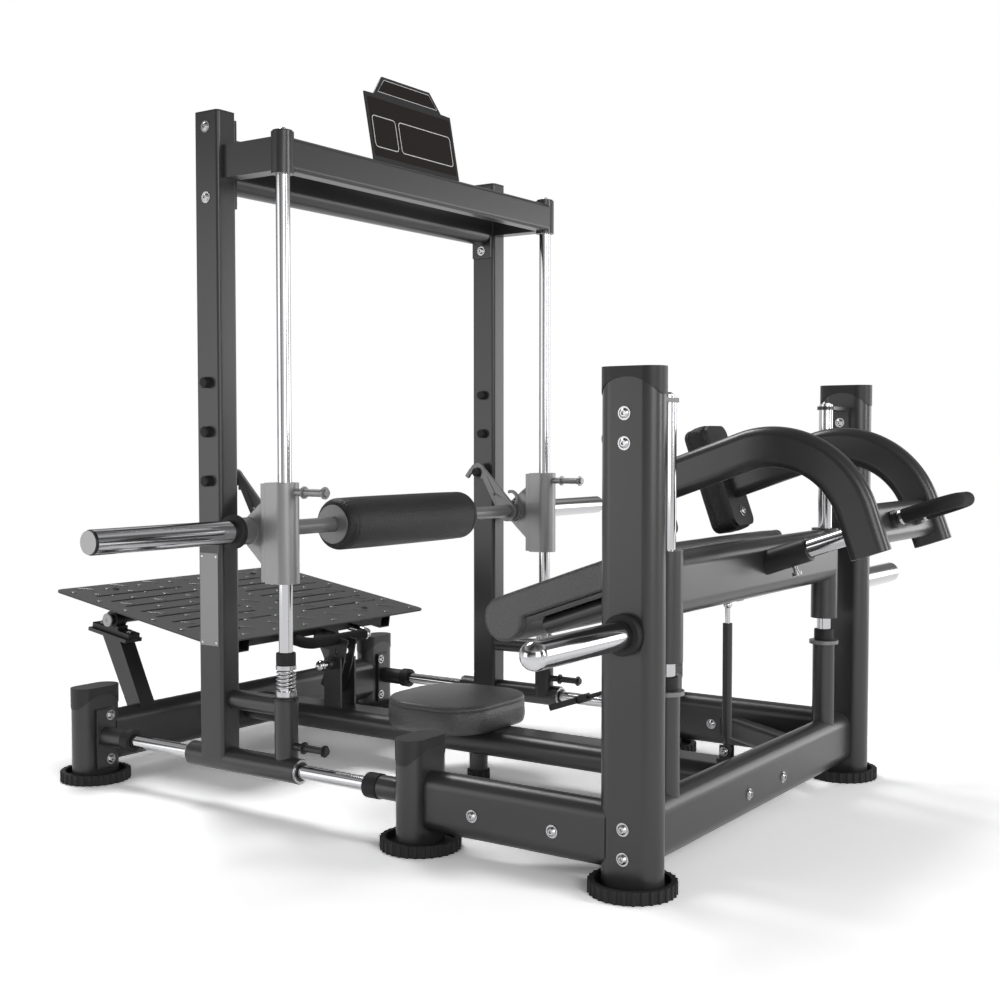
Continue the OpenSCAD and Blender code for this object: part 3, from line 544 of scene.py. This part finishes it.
def turned(place, profile, sides=32):
    """A closed piece of revolution about Z of place, from (radius, height) pairs."""
    return loft([circle(place, r, z, sides) for r, z in profile])


def disc_parts(centre, axis, r, thick, hole):
    """A disc with a small chamfer and a countersunk centre, growing along axis from the plane through centre."""
    c = min(0.0008, thick * 0.3)
    return turned(facing(centre, axis), [
        (r, 0), (r, thick - c), (r - c, thick), (hole * 2.1, thick), (hole * 1.9, thick - 0.0006),
        (hole, thick - 0.0006), (hole * 0.9, thick - 0.002)], 36)


def screw_parts(centre, axis, r):
    """A washer and a button head with a round socket."""
    place = facing(centre, axis)
    washer = turned(place, [(r * 1.35, 0), (r * 1.35, r * 0.14), (r * 1.2, r * 0.18), (r * 0.9, r * 0.18)])
    head = turned(place, [(r, 0), (r, r * 0.34), (r * 0.93, r * 0.48), (r * 0.72, r * 0.62), (r * 0.44, r * 0.68),
                          (r * 0.40, r * 0.62), (r * 0.36, r * 0.3)])
    return [washer, head]


def make_hub_discs():
    """Discs on the ends of the footplate's shaft and on the ends of the bar."""
    for name, node, body, centre, r, thick, hole in (
            ("hinge_discs", "plate_frame", "foot_tilt", HINGE, 0.0165, 0.004, 0.0025),
            ("bar_end_discs", "bar", "bar_turn", Vector((BAR_X, 0, BAR_Z)), 0.0168, 0.0024, 0.003)):
        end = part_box(node)[1].y + 0.0003
        parts = [disc_parts(centre + Vector((0, side * end, 0)), (0, side, 0), r, thick, hole) for side in (-1, 1)]
        discs = add_mesh(name, *join_parts(parts), "grey_bright", smooth=False)
        finish_piece(discs, body)


def make_fixings():
    """Screws on the shoulder plates, footplate and gas spring's foot, and lugs on the gantry's lower tubes."""
    parts = []
    for side in (-1, 1):
        place = SLOPE @ Matrix.Translation((-0.0718, side * 0.184, 0.136))
        parts += screw_parts(place.translation, SLOPE.to_3x3() @ Vector((1, 0, 0)), 0.009)
    finish_piece(add_mesh("shoulder_screws", *join_parts(parts), "bright_screw"), "arm_slide")
    parts = []
    low_head = [(0.0085, 0), (0.0085, 0.0016), (0.0062, 0.0034), (0.0036, 0.0038), (0.0032, 0.0014)]
    for u, y in ((-0.146, -0.250), (-0.146, 0.250), (0.290, -0.240), (0.290, 0.240)):
        parts.append(turned(PLATE @ Matrix.Translation((u, y, PLATE_TOP)), low_head, 24))
    finish_piece(add_mesh("plate_screws", *join_parts(parts), "black_plastic"), "foot_tilt")
    lo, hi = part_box("guide_rods")
    rod_y, rod_x = hi.y - (hi.x - lo.x) / 2, (lo.x + hi.x) / 2
    parts = []
    band = [(0.0251, 0.2510), (0.0275, 0.2516), (0.0275, 0.2580), (0.0251, 0.2586)]
    lug = [(0.0045, 0), (0.0045, 0.0055), (0.0036, 0.0065)]
    for side in (-1, 1):
        at = Vector((rod_x, side * rod_y, 0))
        parts.append(turned(Matrix.Translation(at), band, 40))
        for turn in (-1, 1):
            parts.append(turned(facing(at + Vector((turn * 0.0255, 0, 0.2548)), (turn, 0, 0)), lug, 18))
    lo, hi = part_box("gas_cylinder")
    foot = Vector(((lo.x + hi.x) / 2, 0, lo.z + 0.009))
    clevis = []
    for turn in (-1, 1):
        clevis += screw_parts(foot + Vector((0, turn * 0.0151, 0)), (0, turn, 0), 0.0075)
    finish_piece(add_mesh("clevis_screws", *join_parts(clevis), "bright_screw"), "base")
    finish_piece(add_mesh("tube_lugs", *join_parts(parts), "dark_paint"), "gantry")


def slab(place, outline, depth):
    """A thin plate on the plane x = 0 of place, from (y, z) points."""
    return loft([[place @ Vector((x, y, z)) for y, z in outline] for x in (0, depth)])


def outline_band(place, outline, width, depth):
    """A narrow raised line that follows a closed convex outline on its inner side."""
    inner = inset([Vector(q) for q in outline], width)
    n = len(outline)
    loops = [[place @ Vector((x, q[0], q[1])) for q in ring] for x, ring in
             ((0, outline), (depth, outline), (depth, inner), (0, inner))]
    verts = [v for ring in loops for v in ring]
    faces = [(k * n + j, k * n + (j + 1) % n, (k + 1) % 4 * n + (j + 1) % n, (k + 1) % 4 * n + j)
             for k in range(4) for j in range(n)]
    return verts, faces


def round_box(y0, z0, y1, z1, r, steps=6):
    """The outline of a box with round corners, counterclockwise."""
    pts = arc(y1 - r, z1 - r, r, 0, 90, steps) + arc(y0 + r, z1 - r, r, 90, 180, steps)
    return pts + arc(y0 + r, z0 + r, r, 180, 270, steps) + arc(y1 - r, z0 + r, r, 270, 360, steps)


def make_sign():
    """Bare dark fields with thin light frames, and nothing inside them."""
    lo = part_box("sign_panel")[0]
    # the panel's foot: its front face starts one sheet ahead of the tilt axis
    lean = math.radians(10)
    foot_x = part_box("guide_rods")[0].x + 0.015 + 0.010
    place = Matrix.Translation((foot_x, 0, lo.z)) @ Matrix.Rotation(-lean, 4, "Y")
    place = place @ Matrix.Translation((0.0041, 0, 0))
    field = round_box(-0.2185, 0.010, 0.0895, 0.1485, 0.004)
    head = [(0.0455, 0.1655), (0.0195, 0.1990), (-0.1490, 0.1990), (-0.1775, 0.1655)]
    thin = 0.0003
    films = [slab(place, field, thin), slab(place, head, thin)]
    finish_piece(add_mesh("sign_fields", *join_parts(films), "panel_film", smooth=False), "gantry")
    over = place @ Matrix.Translation((0.0002, 0, 0))
    lines = [outline_band(over, round_box(-0.213, 0.031, -0.128, 0.106, 0.010), 0.0020, thin),
             outline_band(over, round_box(-0.118, 0.031, 0.082, 0.106, 0.010), 0.0020, thin),
             outline_band(over, head, 0.0014, thin)]
    finish_piece(add_mesh("sign_lines", *join_parts(lines), "panel_line", smooth=False), "gantry")


def paint_faces(node, place, test, mat):
    """Gives another material to the faces whose centre, in place's frame, passes the test."""
    obj = NODES[node]
    obj.data.materials.append(MAT[mat])
    slot = len(obj.data.materials) - 1
    back = place.inverted()
    for face in obj.data.polygons:
        if test(back @ face.center):
            face.material_index = slot


def paint_details():
    """Grips, rivets, flange faces, and the dark line and bright face at the weight sleeves' ends."""
    world = Matrix.Identity(4)
    rod_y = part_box("mast_rods")[1].y - 0.016
    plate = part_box("name_plate")[0].y
    paint_faces("foot_handle", PLATE, lambda c: c.x > 0.3645 and c.y < 0.0899, "foam")
    paint_faces("arm_handle", SLOPE, lambda c: c.x < 0.3466, "dark_paint")
    paint_faces("name_plate", world, lambda c: c.y < plate + 0.0009, "bright_screw")
    paint_faces("rod_fixings", world, lambda c: 0.3335 < c.z < 0.3425 and
                math.hypot(c.x - MAST_X, abs(c.y) - rod_y) > 0.0165, "grey_steel")
    paint_faces("weight_sleeves", world, lambda c: 0.9365 < abs(c.y) < 0.9425, "dark_paint")
    paint_faces("weight_sleeves", world, lambda c: abs(c.y) > 0.9427, "grey_bright")


# ---- studio ----
def set_ramp(ramp, stops):
    """Greys along a colour ramp, from (position, grey) pairs."""
    marks = ramp.color_ramp.elements
    for mark, (position, grey) in ((marks[0], stops[0]), (marks[1], stops[-1])):
        mark.position = position
        mark.color = (grey, grey, grey, 1)
    for position, grey in stops[1:-1]:
        marks.new(position).color = (grey, grey, grey, 1)


def make_stage():
    """A floor that keeps the shadow and fades into plain white away from the machine."""
    size, reach = 14.0, 7.0
    verts = [(-size, -size, 0), (size, -size, 0), (size, size, 0), (-size, size, 0)]
    floor = add_mesh("studio_floor", verts, [(0, 1, 2, 3)], "foam", smooth=False)
    mat = bpy.data.materials.new("studio_floor")
    mat.use_nodes = True
    mat.node_tree.nodes.clear()
    out, eye, faded, lit, white, dim = add_nodes(
        mat, "OutputMaterial", "MixShader", "MixShader", "BsdfDiffuse", "Emission", "BsdfDiffuse")
    coord, length, scale, ramp, path, either = add_nodes(
        mat, "TexCoord", "VectorMath", "Math", "ValToRGB", "LightPath", "Math")
    lit.inputs["Color"].default_value = (1.9, 1.9, 1.9, 1)
    white.inputs["Color"].default_value = (1, 1, 1, 1)
    white.inputs["Strength"].default_value = 1.0
    dim.inputs["Color"].default_value = (0.34, 0.34, 0.34, 1)
    length.operation = "LENGTH"
    scale.operation = "DIVIDE"
    scale.inputs[1].default_value = reach
    set_ramp(ramp, ((0.16, 0.0), (0.34, 1.0)))
    link(mat, coord.outputs["Object"], length.inputs[0])
    link(mat, length.outputs["Value"], scale.inputs[0])
    link(mat, scale.outputs[0], ramp.inputs["Fac"])
    link(mat, ramp.outputs["Color"], faded.inputs["Fac"])
    link(mat, lit.outputs[0], faded.inputs[1])
    link(mat, white.outputs[0], faded.inputs[2])
    # white to the eye and to polished faces, a dull grey for the light it passes on
    either.use_clamp = True
    link(mat, path.outputs["Is Camera Ray"], either.inputs[0])
    link(mat, path.outputs["Is Glossy Ray"], either.inputs[1])
    link(mat, either.outputs[0], eye.inputs["Fac"])
    link(mat, dim.outputs[0], eye.inputs[1])
    link(mat, faded.outputs[0], eye.inputs[2])
    link(mat, eye.outputs[0], out.inputs["Surface"])
    floor.data.materials.clear()
    floor.data.materials.append(mat)


def make_world():
    """White to the eye, a soft grey room for dull faces, and bright and dark bands for polished ones."""
    world = bpy.data.worlds.new("studio")
    bpy.context.scene.world = world
    world.use_nodes = True
    world.node_tree.nodes.clear()
    out, white, room, studio = add_nodes(world, "OutputWorld", "Background", "Background", "Background")
    by_eye, by_gloss, path, coord, split = add_nodes(
        world, "MixShader", "MixShader", "LightPath", "TexCoord", "SeparateXYZ")
    sky, bands, turns, joined, angle, part = add_nodes(
        world, "ValToRGB", "ValToRGB", "ValToRGB", "Mix", "Math", "Math")
    white.inputs["Color"].default_value = (1, 1, 1, 1)
    white.inputs["Strength"].default_value = 1.0
    room.inputs["Strength"].default_value = 0.22
    set_ramp(sky, ((0.1, 1.0), (0.8, 0.6)))
    # what polished faces see: a bright horizon broken by darker gaps, and a dim ceiling with one soft band
    set_ramp(bands, ((0.0, 1.0), (0.12, 0.9), (0.24, 0.22), (0.46, 0.16), (0.60, 0.75), (0.74, 0.30), (1.0, 0.12)))
    set_ramp(turns, ((0.0, 0.85), (0.083, 0.8), (0.139, 0.5), (0.208, 0.18), (0.278, 0.5), (0.347, 1.0),
                     (0.403, 0.8), (0.444, 0.5), (0.514, 0.75), (0.597, 0.65), (0.667, 1.0), (0.833, 1.0),
                     (1.0, 0.85)))
    # the compass direction as a share of a full turn
    angle.operation = "ARCTAN2"
    part.operation = "MULTIPLY_ADD"
    part.inputs[1].default_value = 1 / (2 * math.pi)
    part.inputs[2].default_value = 0.5
    joined.data_type = "RGBA"
    joined.blend_type = "MULTIPLY"
    joined.inputs[0].default_value = 1.0
    link(world, coord.outputs["Generated"], split.inputs[0])
    link(world, split.outputs["Z"], sky.inputs["Fac"])
    link(world, split.outputs["Z"], bands.inputs["Fac"])
    link(world, split.outputs["Y"], angle.inputs[0])
    link(world, split.outputs["X"], angle.inputs[1])
    link(world, angle.outputs[0], part.inputs[0])
    link(world, part.outputs[0], turns.inputs["Fac"])
    link(world, bands.outputs["Color"], joined.inputs[6])
    link(world, turns.outputs["Color"], joined.inputs[7])
    link(world, sky.outputs["Color"], room.inputs["Color"])
    link(world, joined.outputs[2], studio.inputs["Color"])
    link(world, path.outputs["Is Glossy Ray"], by_gloss.inputs["Fac"])
    link(world, room.outputs[0], by_gloss.inputs[1])
    link(world, studio.outputs[0], by_gloss.inputs[2])
    link(world, path.outputs["Is Camera Ray"], by_eye.inputs["Fac"])
    link(world, by_gloss.outputs[0], by_eye.inputs[1])
    link(world, white.outputs[0], by_eye.inputs[2])
    link(world, by_eye.outputs[0], out.inputs["Surface"])


def add_area(name, place, target, size, power):
    """A soft box at place that faces target."""
    data = bpy.data.lights.new(name, "AREA")
    data.shape = "RECTANGLE"
    data.size, data.size_y = size
    data.energy = power
    obj = bpy.data.objects.new(name, data)
    obj.location = place
    obj.rotation_euler = (Vector(target) - Vector(place)).to_track_quat("-Z", "Y").to_euler()
    bpy.context.scene.collection.objects.link(obj)


def make_lights():
    add_area("top", (-2.3, 0.4, 4.3), (0, 0, 0), (1.9, 1.6), 88)
    add_area("front_left", (-2.7, -4.3, 0.8), (0, 0, 0.6), (3.0, 2.8), 43)
    add_area("front_right", (4.1, -2.9, 1.8), (0.2, 0, 0.7), (2.4, 2.6), 62)
    add_area("back_right", (3.1, 4.5, 1.1), (0.3, 0, 0.5), (2.6, 2.2), 40)
    add_area("right", (5.0, 0.8, 2.0), (0, 0, 0.7), (0.9, 2.4), 75)


def make_camera():
    data = bpy.data.cameras.new("camera")
    data.lens = 49.56
    data.sensor_width = 36
    cam = bpy.data.objects.new("camera", data)
    cam.location = (MAST_X + 1.1725, -2.635, 0.8017)
    cam.rotation_euler = (math.radians(87.5), 0, math.radians(34.5))
    bpy.context.scene.collection.objects.link(cam)
    bpy.context.scene.camera = cam


dress_cad()
make_seat()
make_back_pad()
make_shoulder_pads()
make_roller()
make_springs()
make_tread()
make_hub_discs()
make_fixings()
make_sign()
paint_details()
make_stage()
make_world()
make_lights()
make_camera()
bpy.context.scene.view_settings.view_transform = "Standard"
